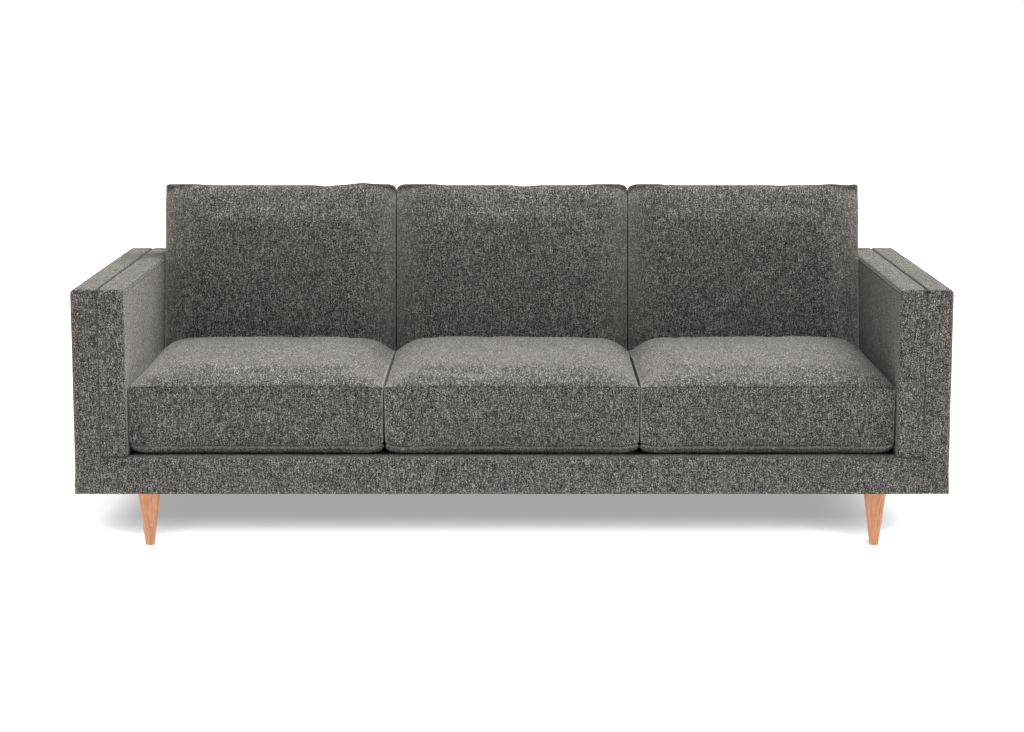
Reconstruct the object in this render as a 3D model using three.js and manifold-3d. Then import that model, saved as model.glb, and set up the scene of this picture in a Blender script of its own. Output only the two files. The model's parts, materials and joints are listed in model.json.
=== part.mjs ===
// A three-seat sofa: a padded two-layer shell on four tapered wooden legs, with a sprung deck
// inside it and three loose seat cushions and three loose back cushions on top.
// Millimetres. +X runs along the seat, +Y to the back, +Z up. The origin is on the floor under
// the middle of the sofa.
import * as THREE from "three";
import { mergeVertices } from "three/addons/utils/BufferGeometryUtils.js";
import Module from "manifold-3d";

const wasm = await Module();
wasm.setup();

// Overall size.
const WIDTH = 2184;
const DEPTH = 965;
const LEG_HEIGHT = 152.4;
const ARM_TOP = 667;
const DECK_TOP = 244;
const GAP = 0.3; // clearance between pieces that touch
const COVER = 3; // upholstery fabric with its thin wadding

// The arms are two padded layers side by side, and the back is a thin slab with a sloping pad.
const LAYER = 66;
const SLAB_FRONT = 918;
const INNER_ARM_REAR = 915;
const BACK_PAD_FRONT = 785; // at deck height
const LEAN = Math.tan(THREE.MathUtils.degToRad(11));
const EDGE_ROUND = 9;

// Frame timber.
const RAIL = 38;
const RAIL_INSET = 5; // front and rear rails, in from the outer faces
const RAIL_BOTTOM = 156;
const RAIL_TOP = 216;
const SIDE_RAIL_TOP = 240;
const CROSS_RAIL_TOP = 200;
const CROSS_RAIL_X = 318;
const POST_TOP = 612;
const TOP_RAIL_TOP = 654;
const POST_WIDTH = 56;

// Legs and their fixings.
const LEG_X = 922;
const LEG_INSET = 99;
const LEG_TOP_RADIUS = 30.5;
const LEG_FOOT_RADIUS = 11.5;
const BOLT_RADIUS = 4;
const BORE_RADIUS = 4.3;
const BORE_DEPTH = 40;
const BLOCK_HEIGHT = 55;
const BLOCK_REACH = 117;
const DUST_COVER = 1.5;

// Cushions.
const CUSHION_PITCH = 640;
const CUSHION_WIDTH = 636;
const SEAT_FRONT = 34;
const SEAT_REAR = 635;
const SEAT_BOTTOM = 246;
const SEAT_SEAM_LOW = 266;
const SEAT_SEAM_HIGH = 420;
const SEAT_CROWN = 470;
const BACK_FRONT = 646; // front seam of a back cushion at deck height
const BACK_BOXING = 130;
const BACK_BULGE = 40;
const BACK_REAR_BULGE = 8;
const BACK_HEIGHT = 618;
const ZIP_WIDTH = 480;
const ZIP_GAP = 6;

// Springs and webbing.
const WIRE = 4;
const SPRINGS_PER_SEAT = 4;
const SPRING_SPACING = 145;
const SPRING_WAVES = 7;
const SPRING_SWING = 24;
const STRAP = 50;

const fabric = { color: 0x5f5c58, roughness: 0.95, metalness: 0 };
const lining = { color: 0x26262a, roughness: 0.9, metalness: 0 };
const foam = { color: 0xe6dcb4, roughness: 0.9, metalness: 0 };
const timber = { color: 0xc8a472, roughness: 0.7, metalness: 0 };
const legWood = { color: 0xd49a6c, roughness: 0.4, metalness: 0 };
const steel = { color: 0x8c8f94, roughness: 0.35, metalness: 1 };

const sides = [
  ["left", -1],
  ["right", 1],
];
const ends = [
  ["front", 1],
  ["rear", -1],
];
const seats = [
  ["left", -1],
  ["centre", 0],
  ["right", 1],
];

const sofa = new THREE.Group();
sofa.name = "sofa";

function add(name, geometry, look, parent = sofa) {
  const mesh = new THREE.Mesh(geometry, new THREE.MeshStandardMaterial(look));
  mesh.name = name;
  parent.add(mesh);
  return mesh;
}

// The Y of a place a given distance behind the front plane.
function behind(distance) {
  return distance - DEPTH / 2;
}

// ---- Shared shapes -------------------------------------------------------------------------

function outline(corners) {
  return new THREE.Shape(corners.map(([x, y]) => new THREE.Vector2(x, y)));
}

// One level of a padded form: a rectangle with rounded corners. The distances are behind the
// front plane.
function level(x0, x1, near, far, z, radius = 1) {
  return { x0, x1, y0: behind(near), y1: behind(far), z, radius };
}

function levelPoints({ x0, x1, y0, y1, z, radius }) {
  const steps = 3;
  const corners = [
    [x1 - radius, y0 + radius, -Math.PI / 2],
    [x1 - radius, y1 - radius, 0],
    [x0 + radius, y1 - radius, Math.PI / 2],
    [x0 + radius, y0 + radius, Math.PI],
  ];
  const points = [];
  for (const [x, y, start] of corners) {
    for (let i = 0; i <= steps; i += 1) {
      const angle = start + (i / steps) * (Math.PI / 2);
      points.push([x + radius * Math.cos(angle), y + radius * Math.sin(angle), z]);
    }
  }
  return points;
}

// A closed skin through a stack of levels, with a flat cap on the first and on the last.
function loft(levels) {
  const rings = levels.map(levelPoints);
  const count = rings[0].length;
  const positions = new Float32Array(rings.flat(2));
  const index = [];
  for (let r = 0; r < rings.length - 1; r += 1) {
    for (let i = 0; i < count; i += 1) {
      const next = (i + 1) % count;
      const [a, b] = [r * count + i, r * count + next];
      index.push(a, b, b + count, a, b + count, a + count);
    }
  }
  const last = (rings.length - 1) * count;
  for (let i = 1; i < count - 1; i += 1) {
    index.push(0, i + 1, i, last, last + i, last + i + 1);
  }
  const geometry = new THREE.BufferGeometry();
  geometry.setAttribute("position", new THREE.BufferAttribute(positions, 3));
  geometry.setIndex(index);
  return geometry;
}

function box(x0, x1, near, far, z0, z1) {
  const geometry = new THREE.BoxGeometry(x1 - x0, far - near, z1 - z0);
  geometry.translate((x0 + x1) / 2, behind((near + far) / 2), (z0 + z1) / 2);
  return geometry;
}

// The same box on the left or right: x is measured outwards from the middle.
function sideBox(side, x0, x1, near, far, z0, z1) {
  const [a, b] = side > 0 ? [x0, x1] : [-x1, -x0];
  return box(a, b, near, far, z0, z1);
}

function toSolid(geometry) {
  const bare = geometry.clone();
  bare.deleteAttribute("normal");
  bare.deleteAttribute("uv");
  const merged = mergeVertices(bare, 1e-4);
  const vertProperties = new Float32Array(merged.attributes.position.array);
  const triVerts = new Uint32Array(merged.index.array);
  return new wasm.Manifold(new wasm.Mesh({ numProp: 3, vertProperties, triVerts }));
}

function toGeometry(solid) {
  const mesh = solid.getMesh();
  const geometry = new THREE.BufferGeometry();
  geometry.setAttribute("position", new THREE.BufferAttribute(mesh.vertProperties, 3));
  geometry.setIndex(new THREE.BufferAttribute(mesh.triVerts, 1));
  return geometry;
}

function cut(geometry, ...tools) {
  return toGeometry(tools.reduce((left, tool) => left.subtract(toSolid(tool)), toSolid(geometry)));
}

function join(geometries) {
  return toGeometry(geometries.map(toSolid).reduce((all, one) => all.add(one)));
}

// A padded layer's fabric: open underneath, with a rounded top edge. frontAt gives the front
// face's place at a height, so that the face can slope.
function layerCover(x0, x1, frontAt, rear, bottom, top) {
  const at = (inset, z) =>
    level(x0 + inset, x1 - inset, frontAt(z) + inset, rear - inset, z, EDGE_ROUND - inset / 2);
  return loft([
    at(COVER + EDGE_ROUND, top - COVER),
    at(COVER, top - COVER - EDGE_ROUND),
    at(COVER, bottom),
    at(0, bottom),
    at(0, top - EDGE_ROUND),
    at(EDGE_ROUND * 0.3, top - EDGE_ROUND * 0.3),
    at(EDGE_ROUND, top),
  ]);
}

// ---- Legs ----------------------------------------------------------------------------------

function legGeometry() {
  const top = LEG_HEIGHT + DUST_COVER;
  const edge = 2;
  const profile = [
    [0, 0],
    [LEG_FOOT_RADIUS - edge, 0],
    [LEG_FOOT_RADIUS, edge],
    [LEG_TOP_RADIUS, top - edge],
    [LEG_TOP_RADIUS - edge, top],
    [BORE_RADIUS, top],
    [BORE_RADIUS, top - BORE_DEPTH],
    [0, top - BORE_DEPTH],
  ].map(([radius, z]) => new THREE.Vector2(radius, z));
  return new THREE.LatheGeometry(profile, 16).rotateX(Math.PI / 2);
}

// A five-sided block glued into the corner of two rails, bored for the leg's bolt.
function cornerBlockGeometry(side, end) {
  const outerX = 985 - GAP - LEG_X;
  const outerY = LEG_INSET - RAIL_INSET - RAIL - GAP;
  const [innerX, innerY] = [outerX - BLOCK_REACH, BLOCK_REACH - outerY];
  const shape = outline([
    [outerX * side, -outerY * end],
    [outerX * side, innerY * end],
    [(outerX - BLOCK_REACH / 2) * side, innerY * end],
    [innerX * side, (innerY - BLOCK_REACH / 2) * end],
    [innerX * side, -outerY * end],
  ]);
  const bore = Array.from({ length: 12 }, (_, i) => (i * Math.PI) / 6);
  shape.holes.push(outline(bore.map((a) => [BORE_RADIUS * Math.cos(a), BORE_RADIUS * Math.sin(a)])));
  return new THREE.ExtrudeGeometry(shape, { depth: BLOCK_HEIGHT, bevelEnabled: false });
}

function buildLegs() {
  const blockBottom = LEG_HEIGHT + DUST_COVER + GAP;
  const boltLow = blockBottom - BORE_DEPTH + 2;
  const boltHigh = blockBottom + BLOCK_HEIGHT - 4;
  for (const [endName, end] of ends) {
    for (const [sideName, side] of sides) {
      const corner = new THREE.Group();
      corner.position.set(side * LEG_X, -end * (DEPTH / 2 - LEG_INSET), 0);
      sofa.add(corner);
      const place = `${endName}_${sideName}`;
      add(`leg_${place}`, legGeometry(), legWood, corner);
      const bolt = new THREE.CylinderGeometry(BOLT_RADIUS, BOLT_RADIUS, boltHigh - boltLow, 12);
      add(`hanger_bolt_${place}`, bolt.rotateX(Math.PI / 2), steel, corner).position.z = (boltLow + boltHigh) / 2;
      add(`corner_block_${place}`, cornerBlockGeometry(side, end), timber, corner).position.z = blockBottom;
    }
  }
}

// ---- Timber frame --------------------------------------------------------------------------

function buildBaseFrame() {
  const reach = WIDTH / 2 - LAYER + COVER + GAP - 0.1;
  const frontBack = RAIL_INSET + RAIL;
  const rearFace = DEPTH - frontBack;
  add("front_rail", box(-reach, reach, RAIL_INSET, frontBack, RAIL_BOTTOM, RAIL_TOP), timber);
  add("rear_rail", box(-reach, reach, rearFace, rearFace + RAIL, RAIL_BOTTOM, RAIL_TOP), timber);
  const near = frontBack + GAP;
  const far = rearFace - GAP;
  for (const [name, side] of sides) {
    add(`side_rail_${name}`, sideBox(side, 985, 1021, near, far, RAIL_BOTTOM, SIDE_RAIL_TOP), timber);
    const [inner, outer] = [CROSS_RAIL_X - RAIL / 2, CROSS_RAIL_X + RAIL / 2];
    add(`cross_rail_${name}`, sideBox(side, inner, outer, near, far, RAIL_BOTTOM, CROSS_RAIL_TOP), timber);
  }
}

function buildArmFrames() {
  const inner = WIDTH / 2 - LAYER + COVER + 0.5;
  const outer = inner + RAIL + 10;
  const [near, far] = [10, DEPTH - 10];
  for (const [name, side] of sides) {
    const post = (face) => sideBox(side, inner, outer, face, face + POST_WIDTH, RAIL_BOTTOM, POST_TOP);
    add(`arm_front_post_${name}`, post(near), timber);
    add(`arm_rear_post_${name}`, post(far - POST_WIDTH), timber);
    add(`arm_top_rail_${name}`, sideBox(side, inner, outer, near, far, POST_TOP + GAP, TOP_RAIL_TOP), timber);
  }
}

function buildBackFrame() {
  const reach = 1017;
  const far = DEPTH - RAIL_INSET;
  const near = far - RAIL;
  const postBottom = RAIL_TOP + GAP;
  const postTop = POST_TOP - GAP;
  add("back_top_rail", box(-reach, reach, near, far, POST_TOP, TOP_RAIL_TOP), timber);
  for (const [name, side] of sides) {
    const upright = (x) => sideBox(side, x - RAIL / 2, x + RAIL / 2, near, far, postBottom, postTop);
    add(`back_post_${name}`, upright(reach - RAIL / 2), timber);
    add(`back_upright_${name}`, upright(CROSS_RAIL_X), timber);
  }
}

// ---- Springs and webbing -------------------------------------------------------------------

// A flat zigzag of formed wire that runs from the front rail to the rear rail.
function springGeometry(x, near, far) {
  const steps = SPRING_WAVES * 4;
  const edge = (sign) =>
    Array.from({ length: steps + 1 }, (_, i) => {
      const swing = SPRING_SWING * Math.SQRT2 * Math.sin((i + 0.5) * (Math.PI / 2));
      return [x + swing + sign * WIRE * 0.6, behind(near + ((far - near) * i) / steps)];
    });
  const wire = outline([...edge(1), ...edge(-1).reverse()]);
  return new THREE.ExtrudeGeometry(wire, { depth: WIRE, bevelEnabled: false });
}

function buildSprings() {
  const near = RAIL_INSET + RAIL / 2;
  const far = DEPTH - near;
  const wireBottom = RAIL_TOP + 1.5;
  const clip = { width: 56, depth: 16, height: 6 };
  for (const [name, place] of seats) {
    const pieces = [];
    const middle = place * CUSHION_PITCH;
    const first = middle - (SPRING_SPACING * (SPRINGS_PER_SEAT - 1)) / 2;
    for (let i = 0; i < SPRINGS_PER_SEAT; i += 1) {
      const x = first + i * SPRING_SPACING;
      pieces.push(springGeometry(x, near, far).translate(0, 0, wireBottom));
      for (const end of [near - 8, far - 8]) {
        const [low, high] = [RAIL_TOP + GAP, RAIL_TOP + GAP + clip.height];
        pieces.push(box(x - clip.width / 2, x + clip.width / 2, end, end + clip.depth, low, high));
      }
    }
    const tieEnd = first + (SPRINGS_PER_SEAT - 1) * SPRING_SPACING + 30;
    for (const tie of [0.34, 0.66]) {
      const y = near + (far - near) * tie;
      pieces.push(box(first - 30, tieEnd, y, y + 3, wireBottom + 0.5, wireBottom + 3.5));
    }
    add(`spring_unit_${name}`, join(pieces), steel);
  }
}

// Crossed elastic straps behind the back pad: uprights, with the level straps laid over them.
function buildWebbing() {
  const reach = 940;
  const [low, high] = [255, 655];
  const uprights = 9;
  const levels = 3;
  const thick = 1.5;
  const rear = SLAB_FRONT - COVER - 1;
  const straps = [];
  for (let i = 0; i < uprights; i += 1) {
    const x = -reach + (i * (2 * reach - STRAP)) / (uprights - 1);
    straps.push(box(x, x + STRAP, rear - thick, rear, low, high));
  }
  for (let i = 0; i < levels; i += 1) {
    const z = low + 10 + (i * (high - low - STRAP - 20)) / (levels - 1);
    straps.push(box(-reach - 5, reach + 5, rear - 2 * thick, rear - thick / 2, z, z + STRAP));
  }
  add("back_webbing", join(straps), lining);
}

// ---- Padding -------------------------------------------------------------------------------

function backPadFront(z) {
  return BACK_PAD_FRONT + (z - DECK_TOP) * LEAN;
}

function buildPadding() {
  const inset = COVER + 0.5;
  for (const [name, side] of sides) {
    const xs = [WIDTH / 2 - 2 * LAYER + inset, WIDTH / 2 - LAYER - GAP - inset];
    const [x0, x1] = side > 0 ? xs : [-xs[1], -xs[0]];
    const at = (more, z) => level(x0 + more, x1 - more, inset + more, INNER_ARM_REAR - inset - more, z, 8);
    const top = ARM_TOP - inset;
    add(`inner_arm_foam_${name}`, loft([at(0, DECK_TOP + 1), at(0, top - 12), at(12, top)]), foam);
  }
  const reach = WIDTH / 2 - 2 * LAYER - inset - 0.5;
  const rear = SLAB_FRONT - COVER - 5;
  const padAt = (more, z) =>
    level(-reach + more, reach - more, backPadFront(z) + inset + more, rear - more, z, 8);
  const padTop = ARM_TOP - inset;
  add("inner_back_foam", loft([padAt(0, DECK_TOP + 1), padAt(0, padTop - 12), padAt(12, padTop)]), foam);
  add("deck_pad", box(-984, 984, 44.5, 916, RAIL_TOP + 8, DECK_TOP - COVER - GAP), foam);
  add("front_edge_roll", box(-1019, 1019, 6, 43, RAIL_TOP + 7, DECK_TOP - COVER - 4), foam);
}

// ---- Fixed covers --------------------------------------------------------------------------

function buildArmCovers() {
  for (const [name, side] of sides) {
    const outer = side > 0 ? [WIDTH / 2 - LAYER, WIDTH / 2] : [-WIDTH / 2, -WIDTH / 2 + LAYER];
    const inner = outer.map((x) => x - side * LAYER);
    inner[side > 0 ? 1 : 0] -= side * GAP;
    const shell = layerCover(...outer, () => 0, DEPTH, LEG_HEIGHT, ARM_TOP);
    const window = sideBox(side, 1025, 1037, COVER, DEPTH - COVER, LEG_HEIGHT - 2, DECK_TOP - 1);
    add(`outer_arm_cover_${name}`, cut(shell, window), fabric);
    const pad = layerCover(...inner, () => 0, INNER_ARM_REAR, DECK_TOP + GAP, ARM_TOP);
    add(`inner_arm_cover_${name}`, pad, fabric);
  }
}

function buildBackCovers() {
  const slabReach = WIDTH / 2 - LAYER - GAP;
  const slab = layerCover(-slabReach, slabReach, () => SLAB_FRONT, DEPTH, LEG_HEIGHT, ARM_TOP);
  const frameWindow = box(-1030, 1030, SLAB_FRONT - 1, DEPTH - COVER, LEG_HEIGHT - 2, DECK_TOP - 1);
  add("back_outer_cover", cut(slab, frameWindow), fabric);
  const padReach = WIDTH / 2 - 2 * LAYER - GAP;
  const rear = SLAB_FRONT - GAP;
  const pad = layerCover(-padReach, padReach, backPadFront, rear, DECK_TOP + GAP, ARM_TOP);
  add("inner_back_cover", pad, fabric);
}

// The front rail's fabric comes up the front, over a rounded edge and back along the ledge.
function buildFrontRailCover() {
  const reach = WIDTH / 2 - LAYER - GAP;
  const round = 10;
  const ledge = 46;
  const profile = new THREE.Shape();
  profile.moveTo(0, LEG_HEIGHT);
  profile.lineTo(COVER, LEG_HEIGHT);
  profile.lineTo(COVER, DECK_TOP - round);
  profile.absarc(round, DECK_TOP - round, round - COVER, Math.PI, Math.PI / 2, true);
  profile.lineTo(ledge, DECK_TOP - COVER);
  profile.lineTo(ledge, DECK_TOP);
  profile.lineTo(round, DECK_TOP);
  profile.absarc(round, DECK_TOP - round, round, Math.PI / 2, Math.PI, false);
  profile.closePath();
  const strip = new THREE.ExtrudeGeometry(profile, {
    depth: 2 * reach,
    bevelEnabled: false,
    curveSegments: 5,
  });
  strip.rotateX(Math.PI / 2).rotateZ(Math.PI / 2);
  add("front_rail_cover", strip.translate(-reach, behind(0), 0), fabric);
}

function buildDeckAndDustCover() {
  const reach = WIDTH / 2 - 2 * LAYER - GAP;
  const deck = box(-reach, reach, 46 + GAP, BACK_PAD_FRONT - GAP, DECK_TOP - COVER, DECK_TOP);
  add("deck_cover", deck, lining);
  const [low, high] = [LEG_HEIGHT, LEG_HEIGHT + DUST_COVER];
  const edge = COVER + GAP;
  const at = (z) => level(edge - WIDTH / 2, WIDTH / 2 - edge, edge, DEPTH - edge, z, EDGE_ROUND);
  const holes = [];
  for (const [, end] of ends) {
    for (const [, side] of sides) {
      const hole = new THREE.CylinderGeometry(LEG_TOP_RADIUS + 3, LEG_TOP_RADIUS + 3, 10, 20);
      hole.rotateX(Math.PI / 2);
      holes.push(hole.translate(side * LEG_X, -end * (DEPTH / 2 - LEG_INSET), low));
    }
  }
  add("dust_cover", cut(loft([at(low), at(high)]), ...holes), lining);
}

// ---- Loose cushions ------------------------------------------------------------------------

// A boxed cushion in its place, shrunk on every side by inset: a flat underside, upright
// boxing between two seams, and a crowned top.
function seatCushion(middle, inset) {
  const half = CUSHION_WIDTH / 2 - inset;
  const [near, far] = [SEAT_FRONT + inset, SEAT_REAR - inset];
  const at = (more, z, radius) =>
    level(middle - half + more, middle + half - more, near + more, far - more, z, radius);
  return loft([
    at(34, SEAT_BOTTOM + inset, 20),
    at(3, SEAT_SEAM_LOW, 26),
    at(0, (SEAT_SEAM_LOW + SEAT_SEAM_HIGH) / 2, 28),
    at(2, SEAT_SEAM_HIGH, 26),
    at(36, SEAT_SEAM_HIGH + 26 - inset, 40),
    at(84, SEAT_CROWN - 12 - inset, 50),
    at(150, SEAT_CROWN - inset, 60),
  ]);
}

// A boxed back cushion lofted from rear to front, then stood on the deck against the lean of
// the back: its underside stays level and its top tips back.
function backCushion(middle, inset) {
  const half = CUSHION_WIDTH / 2 - inset;
  const at = (sideways, low, high, out, radius) => ({
    x0: middle - half + sideways,
    x1: middle + half - sideways,
    y0: low + inset,
    y1: BACK_HEIGHT - high - inset,
    z: out,
    radius,
  });
  const cushion = loft([
    at(90, 90, 90, -BACK_BOXING - BACK_REAR_BULGE + inset, 40),
    at(2, 3, 3, -BACK_BOXING + inset, 26),
    at(0, 0, 0, -BACK_BOXING / 2, 28),
    at(2, 3, 3, -inset, 26),
    at(40, 60, 34, 14 - inset, 34),
    at(105, 130, 84, 30 - inset, 44),
    at(185, 210, 150, BACK_BULGE - inset, 54),
  ]);
  const position = cushion.attributes.position;
  for (let i = 0; i < position.count; i += 1) {
    const [height, out] = [position.getY(i), position.getZ(i)];
    const rise = height * (1 + (out * LEAN) / BACK_HEIGHT);
    position.setY(i, behind(BACK_FRONT + rise * LEAN - out));
    position.setZ(i, SEAT_BOTTOM + rise);
  }
  return cushion;
}

// The cover is a fabric skin with a zip opening along its rear face.
function cushionCover(shape, middle, zipY, zipZ) {
  const zip = new THREE.BoxGeometry(ZIP_WIDTH, 40, ZIP_GAP);
  zip.translate(middle, zipY, zipZ);
  return cut(shape(middle, 0), shape(middle, COVER), zip);
}

function buildCushions() {
  const seatZip = [behind(SEAT_REAR), (SEAT_SEAM_LOW + SEAT_SEAM_HIGH) / 2];
  const backZipHeight = 260;
  const backZipY = behind(BACK_FRONT + backZipHeight * LEAN + BACK_BOXING + BACK_REAR_BULGE);
  const backZip = [backZipY, SEAT_BOTTOM + backZipHeight];
  for (const [name, place] of seats) {
    const middle = place * CUSHION_PITCH;
    add(`seat_cushion_cover_${name}`, cushionCover(seatCushion, middle, ...seatZip), fabric);
    add(`seat_cushion_core_${name}`, seatCushion(middle, COVER + 0.5), foam);
    add(`back_cushion_cover_${name}`, cushionCover(backCushion, middle, ...backZip), fabric);
    add(`back_cushion_core_${name}`, backCushion(middle, COVER + 0.5), foam);
  }
}

buildLegs();
buildBaseFrame();
buildArmFrames();
buildBackFrame();
buildSprings();
buildWebbing();
buildPadding();
buildArmCovers();
buildBackCovers();
buildFrontRailCover();
buildDeckAndDustCover();
buildCushions();

export default sofa;
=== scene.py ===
"""The looks of a three-seat tweed sofa on wooden legs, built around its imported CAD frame.

Metres, in the row frame: +X along the seat, +Y to the back, +Z up, floor at z = 0.
"""

import json
import math

import bpy
import numpy as np
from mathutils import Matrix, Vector, noise

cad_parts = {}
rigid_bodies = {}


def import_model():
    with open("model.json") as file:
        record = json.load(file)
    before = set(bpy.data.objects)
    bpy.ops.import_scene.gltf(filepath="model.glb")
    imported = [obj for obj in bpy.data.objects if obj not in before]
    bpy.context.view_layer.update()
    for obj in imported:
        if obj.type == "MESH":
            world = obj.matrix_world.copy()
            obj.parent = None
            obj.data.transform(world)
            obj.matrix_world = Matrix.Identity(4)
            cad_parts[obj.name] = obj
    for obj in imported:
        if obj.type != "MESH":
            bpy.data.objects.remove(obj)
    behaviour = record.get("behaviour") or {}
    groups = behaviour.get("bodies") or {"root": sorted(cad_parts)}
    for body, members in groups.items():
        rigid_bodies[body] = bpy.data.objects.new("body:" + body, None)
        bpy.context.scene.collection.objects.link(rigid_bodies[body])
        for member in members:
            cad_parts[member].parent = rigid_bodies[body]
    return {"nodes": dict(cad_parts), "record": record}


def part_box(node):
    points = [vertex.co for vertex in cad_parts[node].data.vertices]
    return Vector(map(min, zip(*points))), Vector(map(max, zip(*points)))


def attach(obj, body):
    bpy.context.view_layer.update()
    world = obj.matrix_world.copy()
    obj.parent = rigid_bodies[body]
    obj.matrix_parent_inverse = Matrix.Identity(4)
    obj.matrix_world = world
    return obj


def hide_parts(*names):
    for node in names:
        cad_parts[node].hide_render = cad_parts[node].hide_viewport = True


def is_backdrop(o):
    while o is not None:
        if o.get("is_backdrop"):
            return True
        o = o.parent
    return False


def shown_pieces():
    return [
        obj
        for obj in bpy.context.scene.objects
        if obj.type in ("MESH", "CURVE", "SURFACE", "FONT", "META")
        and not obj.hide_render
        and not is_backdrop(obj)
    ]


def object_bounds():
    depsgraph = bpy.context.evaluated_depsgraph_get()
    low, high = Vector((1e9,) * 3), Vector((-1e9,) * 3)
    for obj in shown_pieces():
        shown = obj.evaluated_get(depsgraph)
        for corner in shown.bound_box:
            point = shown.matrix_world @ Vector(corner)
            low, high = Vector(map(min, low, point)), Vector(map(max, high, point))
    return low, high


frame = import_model()
CAD_BOX = [list(corner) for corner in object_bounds()]

MM = 0.001
SIDES = (("left", -1), ("right", 1))
SEATS = ("left", "centre", "right")
LEAN = math.tan(math.radians(11))  # how far the back leans rearwards for each unit of height


# ---- Placing -------------------------------------------------------------------------------


def node_box(node):
    """The node's lowest and highest corner as two arrays."""
    low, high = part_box(node)
    return np.array(low), np.array(high)


def place(piece, body, slot, *nodes, fill=None):
    """Says what a piece rides on and hides the nodes it stands for. The finish named by slot is not used."""
    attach(piece, body)
    if nodes:
        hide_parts(*nodes)


# ---- Material nodes ------------------------------------------------------------------------


class Nodes:
    """A short way to write a material's node tree."""

    def __init__(self, name):
        self.material = bpy.data.materials.new(name)
        self.material.use_nodes = True
        self.tree = self.material.node_tree
        self.shader = self.tree.nodes["Principled BSDF"]

    def new(self, kind, **settings):
        node = self.tree.nodes.new("ShaderNode" + kind)
        for key, value in settings.items():
            setattr(node, key, value)
        return node

    def feed(self, socket, value):
        if isinstance(value, bpy.types.NodeSocket):
            self.tree.links.new(value, socket)
        else:
            socket.default_value = value

    def math(self, operation, *values):
        node = self.new("Math", operation=operation)
        for socket, value in zip(node.inputs, values):
            self.feed(socket, value)
        return node.outputs[0]

    def split(self, vector):
        node = self.new("SeparateXYZ")
        self.feed(node.inputs[0], vector)
        return node.outputs

    def join(self, x, y, z=0.0):
        node = self.new("CombineXYZ")
        for socket, value in zip(node.inputs, (x, y, z)):
            self.feed(socket, value)
        return node.outputs[0]

    def scaled(self, vector, factors):
        node = self.new("VectorMath", operation="MULTIPLY")
        self.feed(node.inputs[0], vector)
        node.inputs[1].default_value = factors
        return node.outputs[0]

    def mix(self, factor, a, b, data_type="RGBA", blend="MIX"):
        node = self.new("Mix", data_type=data_type)
        if data_type == "RGBA":
            node.blend_type = blend
        first = {"FLOAT": 2, "VECTOR": 4, "RGBA": 6}[data_type]
        self.feed(node.inputs[0], factor)
        self.feed(node.inputs[first], a)
        self.feed(node.inputs[first + 1], b)
        return node.outputs[{"FLOAT": 0, "VECTOR": 1, "RGBA": 2}[data_type]]

    def ramp(self, factor, stops):
        node = self.new("ValToRGB")
        ramp = node.color_ramp
        for _ in range(len(stops) - 2):
            ramp.elements.new(0.5)
        for element, (position, colour) in zip(ramp.elements, stops):
            element.position = position
            element.color = (*colour, 1)
        self.feed(node.inputs[0], factor)
        return node.outputs[0]

    def noise(self, vector, scale, detail, roughness=0.5):
        node = self.new("TexNoise")
        self.feed(node.inputs["Vector"], vector)
        node.inputs["Scale"].default_value = scale
        node.inputs["Detail"].default_value = detail
        node.inputs["Roughness"].default_value = roughness
        return node.outputs["Fac"]

    def random(self, vector):
        node = self.new("TexWhiteNoise", noise_dimensions="3D")
        self.feed(node.inputs["Vector"], vector)
        return node.outputs["Value"]

    def bump(self, height, distance, strength):
        node = self.new("Bump")
        node.inputs["Strength"].default_value = strength
        node.inputs["Distance"].default_value = distance
        self.feed(node.inputs["Height"], height)
        self.feed(self.shader.inputs["Normal"], node.outputs[0])

    def surface(self, colour, roughness, **sockets):
        self.feed(self.shader.inputs["Base Color"], colour)
        self.feed(self.shader.inputs["Roughness"], roughness)
        for name, value in sockets.items():
            self.shader.inputs[name.replace("_", " ")].default_value = value
        return self.material


def flat_coordinates(nodes):
    """Distances across and along the cloth, taken from whichever plane the surface faces."""
    place_at = nodes.new("TexCoord")
    x, y, z = nodes.split(place_at.outputs["Object"])
    across, depth, up = (nodes.math("ABSOLUTE", n) for n in nodes.split(place_at.outputs["Normal"]))
    faces_up = nodes.math("GREATER_THAN", up, nodes.math("MAXIMUM", across, depth))
    faces_side = nodes.math("GREATER_THAN", across, depth)
    upright = nodes.mix(faces_side, nodes.join(x, z, 0.1), nodes.join(y, z, 0.2), "VECTOR")
    flat = nodes.mix(faces_up, upright, nodes.join(x, y, 0.3), "VECTOR")
    return flat, place_at.outputs["Object"]


TWEED_PITCH = 1.7 * MM
TWEED_WANDER = 0.4  # how far the yarns wander from straight lines, in pitches
TWEED_PATCHES = 0.08  # how much the shade drifts over a hand's breadth
TWEED_RELIEF = 0.6 * MM
TWEED_FUZZ = 0.8
TWEED_YARNS = (
    (0.12, (0.016, 0.015, 0.015)),
    (0.36, (0.070, 0.066, 0.061)),
    (0.55, (0.165, 0.154, 0.140)),
    (0.72, (0.330, 0.309, 0.279)),
    (0.88, (0.700, 0.660, 0.600)),
)
YARN_RUN = 0.14
WARP_SHARE = 0.25
WEFT_SHARE = 0.11
CELL_SHARE = 0.64
GAP_COLOUR = (0.012, 0.012, 0.012, 1)
# Lighter yarn colour for rubbed wear and painted highlight, and how much of it is mixed in.
WEAR_AND_HIGHLIGHT_COLOUR = (0.42, 0.40, 0.36, 1)
WEAR_AND_HIGHLIGHT_SHARE = 0.45
# Near-black painted shade for seams, crevices and the feet of covers.
PAINTED_SHADE_COLOUR = (0.010, 0.010, 0.010, 1)
PLANE_SCALE = 10  # sets the shades of the three planes of cloth apart
WARP_SHIFT, WEFT_SHIFT = 40.0, 80.0


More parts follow.
